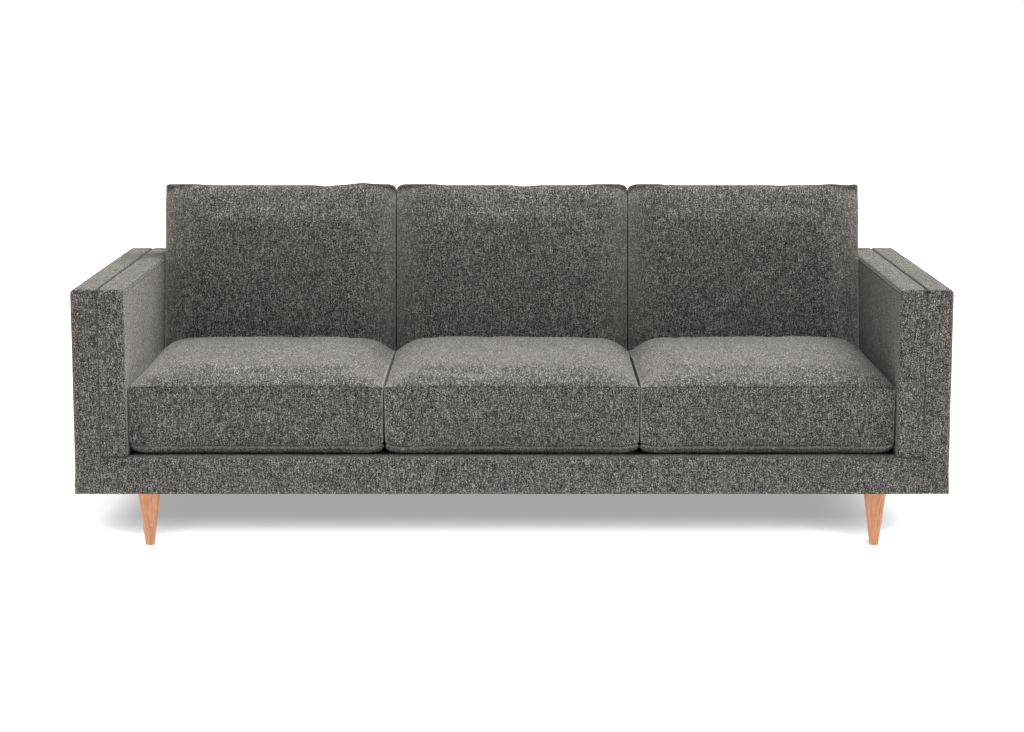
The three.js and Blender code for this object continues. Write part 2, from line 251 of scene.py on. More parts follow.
def tweed(name):
    """A plain weave of slubbed yarns: every crossing has a shade of its own, and so has each
    run of yarn, both along and across. The mesh's wear-and-painted-light value lightens above 0,
    with rubbed wear and painted highlight, and paints shade below 0 into seams, crevices and
    along the feet of covers."""
    nodes = Nodes(name)
    flat, solid = flat_coordinates(nodes)
    wobble = nodes.noise(flat, 30, 1)
    u, v, plane = nodes.split(nodes.scaled(flat, (1 / TWEED_PITCH, 1 / TWEED_PITCH, PLANE_SCALE)))
    u = nodes.math("ADD", u, nodes.math("MULTIPLY", wobble, TWEED_WANDER))
    v = nodes.math("ADD", v, nodes.math("MULTIPLY", wobble, TWEED_WANDER))
    column, row = nodes.math("FLOOR", u), nodes.math("FLOOR", v)
    in_u, in_v = nodes.math("FRACT", u), nodes.math("FRACT", v)
    over = nodes.math("FLOORED_MODULO", nodes.math("ADD", column, row), 2.0)
    crossing = nodes.random(nodes.join(column, row, plane))
    up_run = nodes.math("FLOOR", nodes.math("MULTIPLY", v, YARN_RUN))
    across_run = nodes.math("FLOOR", nodes.math("MULTIPLY", u, YARN_RUN))
    warp = nodes.random(nodes.join(column, up_run, nodes.math("ADD", plane, WARP_SHIFT)))
    weft = nodes.random(nodes.join(across_run, row, nodes.math("ADD", plane, WEFT_SHIFT)))
    shade = nodes.math("MULTIPLY", crossing, CELL_SHARE)
    shade = nodes.math("ADD", shade, nodes.math("MULTIPLY", warp, WARP_SHARE))
    shade = nodes.math("ADD", shade, nodes.math("MULTIPLY", weft, WEFT_SHARE))
    patches = nodes.math("SUBTRACT", nodes.noise(solid, 9, 3, 0.6), 0.5)
    shade = nodes.math("ADD", shade, nodes.math("MULTIPLY", patches, TWEED_PATCHES))
    colour = nodes.ramp(shade, TWEED_YARNS)
    crown_u = nodes.math("SINE", nodes.math("MULTIPLY", in_u, math.pi))
    crown_v = nodes.math("SINE", nodes.math("MULTIPLY", in_v, math.pi))
    height = nodes.mix(over, crown_v, crown_u, "FLOAT")
    fuzz = nodes.noise(solid, 900, 2, 0.7)
    gap = nodes.math("POWER", nodes.math("MULTIPLY", crown_u, crown_v), 0.3)
    colour = nodes.mix(nodes.math("SUBTRACT", 1.0, gap), colour, GAP_COLOUR)
    # Painted light from the mesh: above 0 rubbed wear and painted highlight, below 0 painted shade.
    wear = nodes.new("Attribute", attribute_name="wear").outputs["Fac"]
    wear_and_highlight = nodes.math("MAXIMUM", wear, 0.0)
    shaded = nodes.math("MAXIMUM", nodes.math("MULTIPLY", wear, -1.0), 0.0)
    colour = nodes.mix(nodes.math("MULTIPLY", wear_and_highlight, WEAR_AND_HIGHLIGHT_SHARE), colour, WEAR_AND_HIGHLIGHT_COLOUR)
    colour = nodes.mix(shaded, colour, PAINTED_SHADE_COLOUR)
    nodes.bump(nodes.math("ADD", height, nodes.math("MULTIPLY", fuzz, TWEED_FUZZ)), TWEED_RELIEF, 0.7)
    return nodes.surface(
        colour, 0.92, Sheen_Weight=0.3, Sheen_Roughness=0.3, Sheen_Tint=(1.0, 0.93, 0.85, 1),
        Specular_IOR_Level=0.2,
    )


STREAK_SCALES = (60.0, 2.2)  # across the grain and along it
PORE_SCALES = (700.0, 16.0)


def stretched(scales, along):
    """Scales across and along the grain as one number for each axis."""
    across, lengthways = scales
    return [lengthways if axis == along else across for axis in range(3)]


def grain_wood(name, pale, dark, along, roughness):
    """Straight-grained wood, its grain running along one axis, with fine darker pores."""
    nodes = Nodes(name)
    place_at = nodes.new("TexCoord").outputs["Object"]
    streaks = nodes.noise(nodes.scaled(place_at, stretched(STREAK_SCALES, along)), 3, 4, 0.6)
    pores = nodes.noise(nodes.scaled(place_at, stretched(PORE_SCALES, along)), 1, 2, 0.6)
    colour = nodes.ramp(streaks, ((0.30, dark), (0.62, pale)))
    flecks = nodes.ramp(pores, ((0.30, (0.70, 0.60, 0.52)), (0.46, (1, 1, 1))))
    colour = nodes.mix(1.0, colour, flecks, blend="MULTIPLY")
    rough = nodes.math("ADD", nodes.math("MULTIPLY", pores, -0.2), roughness + 0.1)
    nodes.bump(nodes.math("ADD", pores, nodes.math("MULTIPLY", streaks, 0.4)), 0.15 * MM, 0.5)
    return nodes.surface(colour, rough, Coat_Weight=0.12, Coat_Roughness=0.35)


def plain_cloth(name, colour, pitch, roughness=0.9):
    """A fine single-colour cloth: crossed threads with a little change from thread to thread."""
    nodes = Nodes(name)
    flat, solid = flat_coordinates(nodes)
    u, v, _ = nodes.split(nodes.scaled(flat, (1 / pitch, 1 / pitch, PLANE_SCALE)))
    threads = nodes.random(nodes.join(nodes.math("FLOOR", u), nodes.math("FLOOR", v)))
    waves = [nodes.math("SINE", nodes.math("MULTIPLY", c, 2 * math.pi)) for c in (u, v)]
    height = nodes.math("ADD", *waves)
    dust = nodes.noise(solid, 14, 4, 0.6)
    tone = nodes.math("ADD", nodes.math("MULTIPLY", threads, 0.3), nodes.math("MULTIPLY", dust, 0.7))
    darker = tuple(0.6 * c for c in colour)
    lighter = tuple(min(1.0, 1.4 * c) for c in colour)
    shade = nodes.ramp(tone, ((0.2, darker), (0.8, lighter)))
    nodes.bump(height, 0.2 * MM, 0.4)
    return nodes.surface(shade, roughness, Sheen_Weight=0.1)


def open_foam(name):
    """Cream foam with fine open cells and a slow change of tone."""
    nodes = Nodes(name)
    place_at = nodes.new("TexCoord").outputs["Object"]
    cells = nodes.new("TexVoronoi")
    nodes.feed(cells.inputs["Vector"], place_at)
    cells.inputs["Scale"].default_value = 450
    tone = nodes.noise(place_at, 6, 3)
    colour = nodes.ramp(tone, ((0.3, (0.72, 0.60, 0.34)), (0.7, (0.85, 0.76, 0.52))))
    nodes.bump(cells.outputs["Distance"], 0.8 * MM, 0.5)
    return nodes.surface(colour, 0.95)


def drawn_steel(name, colour, roughness):
    """Drawn or plated steel with fine marks and duller patches."""
    nodes = Nodes(name)
    place_at = nodes.new("TexCoord").outputs["Object"]
    patches = nodes.noise(place_at, 40, 4, 0.6)
    marks = nodes.noise(nodes.scaled(place_at, (900, 60, 900)), 1, 2)
    shade = nodes.ramp(patches, ((0.3, tuple(0.75 * c for c in colour)), (0.7, colour)))
    rough = nodes.math("ADD", nodes.math("MULTIPLY", marks, 0.25), roughness - 0.1)
    nodes.bump(marks, 0.05 * MM, 0.4)
    return nodes.surface(shade, rough, Metallic=1.0)


# ---- Mesh shapes ---------------------------------------------------------------------------


STITCH_LINES = (-5, -2.4, -1.2, 0, 1.2, 2.4, 5)


def lines(half, radius, step, arc, seams=(), close=STITCH_LINES):
    """Grid lines from -half to half: a number of them over the arc at each end, even steps, and
    close-set lines at each seam, at the given distances from it in millimetres."""
    inner = half - radius
    bend = [inner + radius * math.tan(math.radians(45 * k / arc)) for k in range(1, arc + 1)]
    count = max(2, round(2 * inner / step))
    beside = [s + d * MM for s in seams for d in close if abs(s + d * MM) < inner]
    reach = (max(close) + 2) * MM
    even = [e for e in np.linspace(-inner, inner, count + 1) if all(abs(e - s) > reach for s in seams)]
    return np.array(sorted([-b for b in bend] + even + beside + bend))


def box_surface(xs, ys, zs):
    """Points and outward quads over a box whose faces carry the given grid lines."""
    index, points, faces = {}, [], []

    def at(i, j, k):
        key = (i, j, k)
        if key not in index:
            index[key] = len(points)
            points.append((xs[i], ys[j], zs[k]))
        return index[key]

    nx, ny, nz = len(xs) - 1, len(ys) - 1, len(zs) - 1
    for i in range(nx):
        for j in range(ny):
            faces.append((at(i, j, 0), at(i, j + 1, 0), at(i + 1, j + 1, 0), at(i + 1, j, 0)))
            faces.append((at(i, j, nz), at(i + 1, j, nz), at(i + 1, j + 1, nz), at(i, j + 1, nz)))
    for i in range(nx):
        for k in range(nz):
            faces.append((at(i, 0, k), at(i + 1, 0, k), at(i + 1, 0, k + 1), at(i, 0, k + 1)))
            faces.append((at(i, ny, k), at(i, ny, k + 1), at(i + 1, ny, k + 1), at(i + 1, ny, k)))
    for j in range(ny):
        for k in range(nz):
            faces.append((at(0, j, k), at(0, j, k + 1), at(0, j + 1, k + 1), at(0, j + 1, k)))
            faces.append((at(nx, j, k), at(nx, j + 1, k), at(nx, j + 1, k + 1), at(nx, j, k + 1)))
    return np.array(points), faces


def rounded(points, half, radius):
    """The box's points moved on to a box with rounded edges, and the way each one faces. The
    radius is one number, or one for each point."""
    radius = np.asarray(radius, dtype=float).reshape(-1, 1)
    core = np.clip(points, radius - half, half - radius)
    out = points - core
    normals = out / np.linalg.norm(out, axis=1, keepdims=True)
    return core + normals * radius, normals


def dome(t, power):
    """1 in the middle of a panel and 0 at its edges, for t from -1 to 1."""
    return 1 - np.clip(np.abs(t), 0, 1) ** power


def waves(points, size, seed, detail=2):
    """Smooth noise from -1 to 1 at each point, with features of the given size."""
    shift = np.array((seed * 7.31, seed * 3.17, seed * 5.57))
    return np.array([noise.fractal(p / size + shift, 1.0, 2.0, detail) for p in points])


def smooth_step(t):
    """0 below 0, 1 above 1, and a smooth climb between."""
    t = np.clip(t, 0, 1)
    return t * t * (3 - 2 * t)


def groove(distance, depth, width):
    """A rounded furrow: minus the depth at its middle, and 0 well away from it."""
    return -depth * np.exp(-((distance / width) ** 2))


RIDGE_HEIGHT = 1.6 * MM
RIDGE_WIDTH = 2 * MM
# Width of the band along a sewn edge that takes rubbed wear, painted highlight and painted shade.
WEAR_AND_HIGHLIGHT_WIDTH = 1.8 * MM


def sewn_edge(facing, radius, axes):
    """The seam that runs along the edges between two axes: its height, as a ridge of turned-in
    cloth, and the band along it where the caller paints rubbed wear with a painted highlight,
    and on the seats' top front and rear edges painted shade. It fades out at the corners, where
    the third axis takes over."""
    a, b = (np.abs(facing[:, axis]) for axis in axes)
    from_middle = np.abs(np.arctan2(a, b) - math.pi / 4) * radius
    on_edge = ((a > 0.05) & (b > 0.05)) * np.clip((a + b - 0.95) * 4, 0, 1)
    ridge = RIDGE_HEIGHT * np.exp(-((from_middle / RIDGE_WIDTH) ** 2)) * on_edge
    wear_and_highlight = np.exp(-((from_middle / WEAR_AND_HIGHLIGHT_WIDTH) ** 2)) * on_edge
    return ridge, wear_and_highlight


def set_wear_and_painted_light(mesh, wear):
    """Stores the wear and painted light that the tweed reads, one value for each point: painted shade below
    0, rubbed wear and painted highlight above 0.
    """
    mesh.attributes.new("wear", "FLOAT", "POINT").data.foreach_set("value", np.clip(wear, -1, 1))


def mesh_piece(name, points, faces, material):
    mesh = bpy.data.meshes.new(name)
    mesh.from_pydata([tuple(p) for p in points], [], faces)
    mesh.shade_smooth()
    mesh.materials.append(material)
    piece = bpy.data.objects.new(name, mesh)
    bpy.context.collection.objects.link(piece)
    return piece


def read(values, count, key):
    """One vector for each of a mesh's points, as rows of an array."""
    flat = np.empty(3 * count)
    values.foreach_get(key, flat)
    return flat.reshape(-1, 3)


def get_points(mesh):
    return read(mesh.vertices, len(mesh.vertices), "co")


def get_normals(mesh):
    return read(mesh.vertices, len(mesh.vertices), "normal")


def set_points(mesh, points):
    mesh.vertices.foreach_set("co", np.asarray(points, dtype=float).ravel())
    mesh.update()


# ---- Cloth ---------------------------------------------------------------------------------

CLOTH_FRAMES = 20
CLOTH_CELL = 20 * MM
CLOTH_PRESSURE = 4.0
CLOTH_SETTINGS = {
    "quality": 5,
    "mass": 0.25,
    "tension_stiffness": 12,
    "compression_stiffness": 12,
    "shear_stiffness": 4,
    "bending_stiffness": 0.6,
    "use_pressure": True,
    "uniform_pressure_force": CLOTH_PRESSURE,
    "shrink_min": 0.0,
    "shrink_max": 0.03,
}
SEAM_LINES = (-6, 0, 6)
SEAM_REACH = 7 * MM  # how far from a seam the cloth is drawn in


def swell(piece, limits, seam_weight):
    """Blows the piece up as a stitched cover, with the seams drawn in. Returns how far each
    point moved, kept within a limit along each axis, less any overall growth or shrinkage,
    because the pattern is cut to come out at its finished size."""
    start = get_points(piece.data)
    group = piece.vertex_groups.new(name="seams")
    for i in np.nonzero(seam_weight > 0.02)[0]:
        group.add([int(i)], float(seam_weight[i]), "REPLACE")
    cloth = piece.modifiers.new("Cloth", "CLOTH")
    for key, value in CLOTH_SETTINGS.items():
        setattr(cloth.settings, key, value)
    cloth.settings.effector_weights.gravity = 0
    cloth.settings.vertex_group_shrink = group.name
    cloth.point_cache.frame_end = CLOTH_FRAMES
    scene = bpy.context.scene
    for step in range(1, CLOTH_FRAMES + 1):
        scene.frame_set(step)
    settled = piece.evaluated_get(bpy.context.evaluated_depsgraph_get()).data
    moved = get_points(settled) - start
    piece.modifiers.remove(cloth)
    piece.vertex_groups.remove(group)
    scene.frame_set(1)
    moved -= moved.mean(axis=0)
    for axis in range(3):
        growth = (moved[:, axis] * start[:, axis]).sum() / (start[:, axis] ** 2).sum()
        moved[:, axis] -= growth * start[:, axis]
    return np.stack([m * np.tanh(d / m) for d, m in zip(moved.T, limits)], axis=1)


REFINE_LEVELS = 2


def refine(piece, flat, half, radius):
    """Subdivides the piece smoothly. Returns its new points, their normals, where they lie on
    the flat box, and the way they face on it. The flat places given are of the points before."""
    carried = piece.data.attributes.new("flat", "FLOAT_VECTOR", "POINT")
    carried.data.foreach_set("vector", flat.ravel())
    finer = piece.modifiers.new("Subdivision", "SUBSURF")
    finer.levels = REFINE_LEVELS
    finished = piece.evaluated_get(bpy.context.evaluated_depsgraph_get())
    result = bpy.data.meshes.new_from_object(finished)
    piece.modifiers.remove(finer)
    piece.data = result
    result.shade_smooth()
    new_flat = read(result.attributes["flat"].data, len(result.vertices), "vector")
    result.attributes.remove(result.attributes["flat"])
    return get_points(result), get_normals(result), new_flat, rounded(new_flat, half, radius)[1]


# ---- Loose cushions ------------------------------------------------------------------------

SEAM_DEPTH = 4 * MM
SEAM_WIDTH = 2 * MM


def shoulder(distance, reach, power=2.4):
    """Rises from 0 at an edge to 1 at a given reach in from it."""
    return 1 - (1 - np.clip(distance / reach, 0, 1)) ** power


def uneven(points, kinds, seed):
    """Shallow dips and swells at each point, of several kinds: (size, depth, detail) for each."""
    return sum(
        waves(points, size, seed + 3 * k, detail) * depth
        for k, (size, depth, detail) in enumerate(kinds)
    )


SEAT_RADIUS = 7 * MM
SEAT_LOW_SEAM = 17 * MM
SEAT_HIGH_SEAM = 174 * MM
SEAT_ROLL = 4 * MM  # how far the top's edge stands above the upper seam
SEAT_SPARE = 2 * MM  # left between the crown and the top of the CAD solid
SEAT_SIDE_REACH = 95 * MM  # the crown falls away to the edges over these distances
SEAT_REAR_REACH = 60 * MM
SEAT_FRONT_REACHES = ((0.52, 62 * MM), (0.48, 400 * MM))  # (share of the crown, distance)
SEAT_INSETS = ((0, 6 * MM), (1, 14 * MM))  # (axis, how far the foot is turned in along it)
SEAT_INSET_REACH = 60 * MM
SEAT_CORNER_LIFT = 11 * MM
SEAT_CORNER_REACH = 50 * MM
SEAT_CORNER_HEIGHT = 60 * MM
SEAT_SWELL = (1.5 * MM, 4 * MM, 5 * MM)
SEAT_DIPS = ((170 * MM, 2.0 * MM, 2), (60 * MM, 0.5 * MM, 2))
SEAT_FRONT_DIPS = 0.6  # how deep the dips are on upright faces, beside those on top
SEAT_SEAM_DRIFT = 1.5 * MM
SEAT_SEAM_SHADE = (0.25, 1.2 * MM)  # painted shade in the lower seam: (darkness, width)
# A painted highlight on the lip below the lower seam: (strength, width).
SEAT_LIP_HIGHLIGHT = (0.8, 3 * MM)
SEAT_LIP_DROP = 5 * MM  # how far the painted highlight on the lip lies below the seam
# Rubbed wear with a painted highlight on the upright corners and top side edges (above 0), painted shade
# along the top front and rear edges (below 0).
SEAT_EDGE_WEAR_AND_LIGHT = {(0, 1): 0.9, (1, 2): -0.3, (0, 2): 0.9}
SEAT_PAST_SIDE = 1.2 * MM
SEAT_PAST_REAR = 2.5 * MM


def seat_shape(flat, half, seam, crown):
    """A seat cushion's points before it is blown up, and the way each one faces."""
    points, facing = rounded(flat, half, SEAT_RADIUS)
    from_side = half[0] - np.abs(flat[:, 0])
    from_front = flat[:, 1] + half[1]
    from_rear = half[1] - flat[:, 1]
    front_rise = sum(share * shoulder(from_front, reach, 2) for share, reach in SEAT_FRONT_REACHES)
    rise = shoulder(from_side, SEAT_SIDE_REACH) * front_rise * shoulder(from_rear, SEAT_REAR_REACH)
    points[:, 2] += np.clip(facing[:, 2], 0, 1) * crown * rise
    turned = np.clip((seam - flat[:, 2]) / SEAT_LOW_SEAM, 0, 1) ** 5
    for axis, inset in SEAT_INSETS:
        from_edge = half[axis] - np.abs(flat[:, axis]) - SEAT_RADIUS
        near_edge = 1 - np.clip(from_edge / SEAT_INSET_REACH, 0, 1)
        points[:, axis] -= np.sign(flat[:, axis]) * inset * turned * near_edge
    from_end = np.minimum(from_front, from_rear)
    at_corner = (1 - shoulder(from_side, SEAT_CORNER_REACH)) * (1 - shoulder(from_end, SEAT_CORNER_REACH))
    low_down = 1 - smooth_step((flat[:, 2] + half[2]) / SEAT_CORNER_HEIGHT)
    points[:, 2] += low_down * SEAT_CORNER_LIFT * at_corner
    return points, facing


def seat_cushion(name, seed, material):
    """A boxed foam cushion: crowned on top, flat underneath, its lower edge turned under and
    its lower corners drawn up."""
    low, high = node_box(f"seat_cushion_cover_{name}")
    body_top = SEAT_HIGH_SEAM + SEAT_ROLL
    half = np.array(((high[0] - low[0]) / 2, (high[1] - low[1]) / 2, body_top / 2))
    centre = np.array(((low[0] + high[0]) / 2, (low[1] + high[1]) / 2, low[2] + half[2]))
    seam = SEAT_LOW_SEAM - half[2]
    flat, faces = box_surface(
        lines(half[0], SEAT_RADIUS, CLOTH_CELL, arc=2),
        lines(half[1], SEAT_RADIUS, CLOTH_CELL, arc=2),
        lines(half[2], SEAT_RADIUS, CLOTH_CELL, seams=[seam], arc=2, close=SEAM_LINES),
    )
    points, facing = seat_shape(flat, half, seam, high[2] - low[2] - body_top - SEAT_SPARE)
    piece = mesh_piece(f"seat_cushion_{name}", points, faces, material)
    seam_weight = np.exp(-(((flat[:, 2] - seam) / SEAM_REACH) ** 2))
    moved = swell(piece, SEAT_SWELL, seam_weight)
    moved[:, 2] *= facing[:, 2] > -0.5
    set_points(piece.data, points + moved)
    points, normals, flat, facing = refine(piece, flat, half, SEAT_RADIUS)
    upright = 1 - np.abs(facing[:, 2])
    sag = uneven(points, SEAT_DIPS, seed)
    points[:, 2] += np.clip(facing[:, 2], 0, 1) * sag
    points[:, 1] += facing[:, 1] * upright * sag * SEAT_FRONT_DIPS
    drift = waves(points, 80 * MM, seed + 5) * SEAT_SEAM_DRIFT
    to_seam = flat[:, 2] - seam - drift
    points += normals * groove(to_seam, SEAM_DEPTH, SEAM_WIDTH)[:, None]
    # Painted shade in the lower seam, and a painted highlight on the lip below it.
    wear = groove(to_seam, *SEAT_SEAM_SHADE) - groove(to_seam + SEAT_LIP_DROP, *SEAT_LIP_HIGHLIGHT)
    # Along the sewn edges: rubbed wear with painted highlight, and painted shade on the top front and rear
    # edges.
    for axes, edge_wear_and_light in SEAT_EDGE_WEAR_AND_LIGHT.items():
        shown = flat[:, 2] > (seam if axes == (0, 1) else 0)
        ridge, wear_and_highlight = sewn_edge(facing, SEAT_RADIUS, axes)
        points += normals * (ridge * shown)[:, None]
        wear += wear_and_highlight * shown * edge_wear_and_light
    set_wear_and_painted_light(piece.data, wear)
    side_limit = half[0] + SEAT_PAST_SIDE
    points[:, 0] = np.clip(points[:, 0], -side_limit, side_limit)
    points[:, 1] = np.minimum(points[:, 1], half[1] + SEAT_PAST_REAR)
    points[:, 2] = np.maximum(points[:, 2], -half[2])
    set_points(piece.data, points + centre)
    place(piece, f"seat_cushion_{name}", "cushion_tweed", f"seat_cushion_cover_{name}",
          f"seat_cushion_core_{name}", fill=0.8)


BACK_RADIUS = 10 * MM
BACK_FRONT = 646 * MM  # from the front of the sofa to the front of the cushions' foot
BACK_BOXING = 130 * MM
BACK_BULGE = 18 * MM
BACK_END_ROLL = (28 * MM, 140 * MM, 5, 0.6)  # as roll() takes them, after the distance
BACK_SIDE_ROLL = (16 * MM, 130 * MM, 2, 0.8)
BACK_SIDE_FULL = 4 * MM
BACK_HOLLOW = 5 * MM
BACK_SEAM_IN = 2 * MM  # how far in from the faces the boxing's seams run
BACK_SWELL = (1.5 * MM, 1.5 * MM, 6 * MM)
BACK_DIPS = ((190 * MM, 4 * MM, 3), (70 * MM, 0.6 * MM, 2))
BACK_OVER = 4.5 * MM  # how far the top stands above its CAD solid
BACK_TOP_REACH = 60 * MM
BACK_TOP_SHAPE = {
    "left": ((126, -3.2, 20), (215, 4.2, 32), (318, -5, 12)),
    "centre": ((-318, -5, 12), (36, -3.2, 26), (318, -5, 12)),
    "right": ((-318, -6, 14), (105, -1.2, 20), (285, -2.5, 22)),
}
# A painted highlight lightens the cushions' fronts towards their sides, fading over the reach.
BACK_SIDE_HIGHLIGHT = 0.6
BACK_HIGHLIGHT_REACH = 110 * MM
# Rubbed wear with a painted highlight along the sewn edges.
BACK_EDGE_WEAR_AND_HIGHLIGHT = 0.6
BACK_PAST_SIDE = 0.8 * MM
BACK_CLEAR = 4 * MM  # left behind the seats, up to the height of their tops
BACK_CLEAR_HEIGHT = 235 * MM


def roll(distance, depth, reach, power, level):
    """How a face rolls over to its edge, for a distance in from it: it rises by the depth, of
    which the share called level is below 0."""
    return depth * (shoulder(distance, reach, power) - level)


def back_shape(flat, half):
    """A back cushion's points, lying on its back, before it is blown up, and the way each one
    faces."""
    points, facing = rounded(flat, half, BACK_RADIUS)
    full = dome(flat[:, 0] / half[0], 2.6) * dome(flat[:, 1] / half[1], 2.2)
    rolled = roll(half[1] - np.abs(flat[:, 1]), *BACK_END_ROLL)
    rolled += roll(half[0] - np.abs(flat[:, 0]), *BACK_SIDE_ROLL)
    points[:, 2] += np.clip(facing[:, 2], 0, 1) * (BACK_BULGE * full + rolled)
    points[:, 0] += facing[:, 0] * BACK_SIDE_FULL * dome(flat[:, 1] / half[1], 4)
    points[:, 2] -= np.clip(-facing[:, 2], 0, 1) * BACK_HOLLOW * full
    return points, facing


def lean_back(points, half, low, high):
    """Stands a back cushion up, leaning on the back, behind the seats."""
    rise = high[2] - low[2]
    out = points[:, 2] - half[2]
    climb = np.maximum((points[:, 1] + half[1]) * (1 + out * LEAN / rise), 0)
    depth = CAD_BOX[0][1] + BACK_FRONT + climb * LEAN - out
    clear = node_box("seat_cushion_cover_centre")[1][1] + BACK_CLEAR
    depth = np.where(climb < BACK_CLEAR_HEIGHT, np.maximum(depth, clear), depth)
    return np.stack((points[:, 0] + (low[0] + high[0]) / 2, depth, low[2] + climb), axis=1)


def back_cushion(name, seed, material):
    """A boxed, softer cushion that leans on the back: full in front, its seams drawn in, with a
    few dips and lumps along its top. Each of those is (place from the middle, height, reach)."""
    low, high = node_box(f"back_cushion_cover_{name}")
    half = np.array(((high[0] - low[0]) / 2, (high[2] - low[2]) / 2, BACK_BOXING / 2))
    flat, faces = box_surface(*(lines(h, BACK_RADIUS, CLOTH_CELL, arc=3) for h in half))
    points, facing = back_shape(flat, half)
    piece = mesh_piece(f"back_cushion_{name}", points, faces, material)
    to_seam = np.abs(np.abs(flat[:, 2]) - half[2] + BACK_SEAM_IN)
    at_seam = np.exp(-((to_seam / SEAM_REACH) ** 2)) * (np.abs(facing[:, 2]) < 0.9)
    moved = swell(piece, BACK_SWELL, at_seam)
    moved[:, 2] *= np.where(facing[:, 2] < -0.5, 0.3, 1.0)
    set_points(piece.data, points + moved)
    points, normals, flat, facing = refine(piece, flat, half, BACK_RADIUS)
    full = dome(flat[:, 0] / half[0], 3) * dome(flat[:, 1] / half[1], 2.2)
    dents = uneven(points, BACK_DIPS, seed)
    points[:, 2] += np.clip(facing[:, 2], 0, 1) * dents * (0.3 + 0.7 * full)
    near_top = smooth_step((flat[:, 1] - half[1] + BACK_TOP_REACH) / BACK_TOP_REACH)
    points[:, 1] += BACK_OVER * near_top
    for across, height, reach in BACK_TOP_SHAPE[name]:
        lump = height * MM * np.exp(-(((flat[:, 0] - across * MM) / (reach * MM)) ** 2))
        points[:, 1] += lump * near_top
    from_side = half[0] - np.abs(flat[:, 0])
    # Painted highlight towards the sides of the front.
    wear = BACK_SIDE_HIGHLIGHT * (1 - shoulder(from_side, BACK_HIGHLIGHT_REACH, 2)) * (facing[:, 2] > 0.5)
    # Rubbed wear with painted highlight along the sewn edges.
    for axes in ((0, 2), (1, 2)):
        ridge, wear_and_highlight = sewn_edge(facing, BACK_RADIUS, axes)
        points += normals * ridge[:, None]
        wear += BACK_EDGE_WEAR_AND_HIGHLIGHT * wear_and_highlight
    set_wear_and_painted_light(piece.data, wear)
    side_limit = half[0] + BACK_PAST_SIDE
    points[:, 0] = np.clip(points[:, 0], -side_limit, side_limit)
    set_points(piece.data, lean_back(points, half, low, high))
    place(piece, f"back_cushion_{name}", "cushion_tweed", f"back_cushion_cover_{name}",
          f"back_cushion_core_{name}", fill=0.65)


# ---- Fixed covers --------------------------------------------------------------------------

SHARP = 0.9 * MM
SOFT = 12 * MM
SOFT_REACH = (30 * MM, 22 * MM)  # where an edge starts to turn soft, and over what distance
FOOT_REACH = 70 * MM
CREVICE = 1.6 * MM
CREVICE_REACH = (26 * MM, 14 * MM)
# Painted shade in the crevice beside a neighbour.
CREVICE_SHADE = 0.6
# A line of painted shade along a rounded foot edge: its height and darkness.
FOOT_LINE = 4 * MM
FOOT_SHADE = 0.8
COVER_CELL = 12 * MM
COVER_RIPPLE = 0.6 * MM
STITCH_SHADE = (0.7, 1.1 * MM)  # painted shade in the stitching furrows: (darkness, width)


def near_face(distance, reach):
    """1 at a face and 0 well inside it, for distances that are negative inside."""
    start, over = reach
    return smooth_step((distance + start) / over)


def padded_block(name, low, high, material, seed, bulge, butts_on, seams=(), soft_side=(0, 0),
                 front_slope=0.0, foot_edge=SHARP):
    """An upholstered layer: a box with slightly full faces, its edges crisp where it butts on
    another piece, and soft along its top and towards the soft side, which is (axis, sign). Away
    from that side, its top leaves a narrow crevice beside its neighbour, with painted shade in it.
    A seam is (axis it is level on, place on that axis, the way its face looks, depth), with
    painted shade in its furrow. The faces in butts_on, each (axis, sign), stay flat, because
    another piece is against them. A foot edge wider than SHARP is rounded by that much, with a
    line of painted shade along it."""
    half = (high - low) / 2
    centre = (high + low) / 2
    at = [[s[1] - centre[axis] for s in seams if s[0] == axis] for axis in range(3)]
    flat, faces = box_surface(*(lines(half[a], SOFT, COVER_CELL, seams=at[a], arc=6) for a in range(3)))
    from_top = flat[:, 2] - half[2]
    from_foot = flat[:, 2] + half[2]
    soft_axis, soft_sign = soft_side
    near_top = near_face(from_top, SOFT_REACH)
    near_side = near_face(flat[:, soft_axis] * soft_sign - half[soft_axis], SOFT_REACH) * abs(soft_sign)
    radius = SHARP + (SOFT - SHARP) * np.maximum(near_top * (0.5 + 0.5 * near_side), near_side)
    radius = foot_edge + np.maximum(radius - foot_edge, 0) * smooth_step(from_foot / FOOT_REACH)
    points, facing = rounded(flat, half, radius)
    butted = np.clip(-facing[:, soft_axis] * soft_sign, 0, 1) * near_face(from_top, CREVICE_REACH)
    points[:, soft_axis] += soft_sign * CREVICE * butted
    free = np.ones(len(points))
    for axis, sign in butts_on:
        free *= 1 - np.clip(facing[:, axis] * sign, 0, 1)
    for axis in range(3):
        b, c = (axis + 1) % 3, (axis + 2) % 3
        full = dome(flat[:, b] / half[b], 4) * dome(flat[:, c] / half[c], 4) * free
        points[:, axis] += bulge[axis] * MM * full * facing[:, axis] * np.abs(facing[:, axis])
    points += facing * (waves(points, 120 * MM, seed) * COVER_RIPPLE * free)[:, None]
    # Painted shade in the crevice, and a line of painted shade along a rounded foot.
    wear = -CREVICE_SHADE * smooth_step((butted - 0.35) / 0.4)
    wear -= FOOT_SHADE * (foot_edge > SHARP) * (from_foot < FOOT_LINE)
    for level_axis, level, (face_axis, face_sign), depth in seams:
        on_face = facing[:, face_axis] * face_sign > 0.5
        to_seam = flat[:, level_axis] - level + centre[level_axis]
        points += facing * (groove(to_seam, depth, SEAM_WIDTH) * on_face)[:, None]
        # Painted shade in the stitching furrow.
        wear += groove(to_seam, *STITCH_SHADE) * on_face
    points[:, 1] += front_slope * (points[:, 2] + half[2]) * (0.5 - 0.5 * points[:, 1] / half[1])
    piece = mesh_piece(name, points + centre, faces, material)
    set_wear_and_painted_light(piece.data, wear)
    return piece


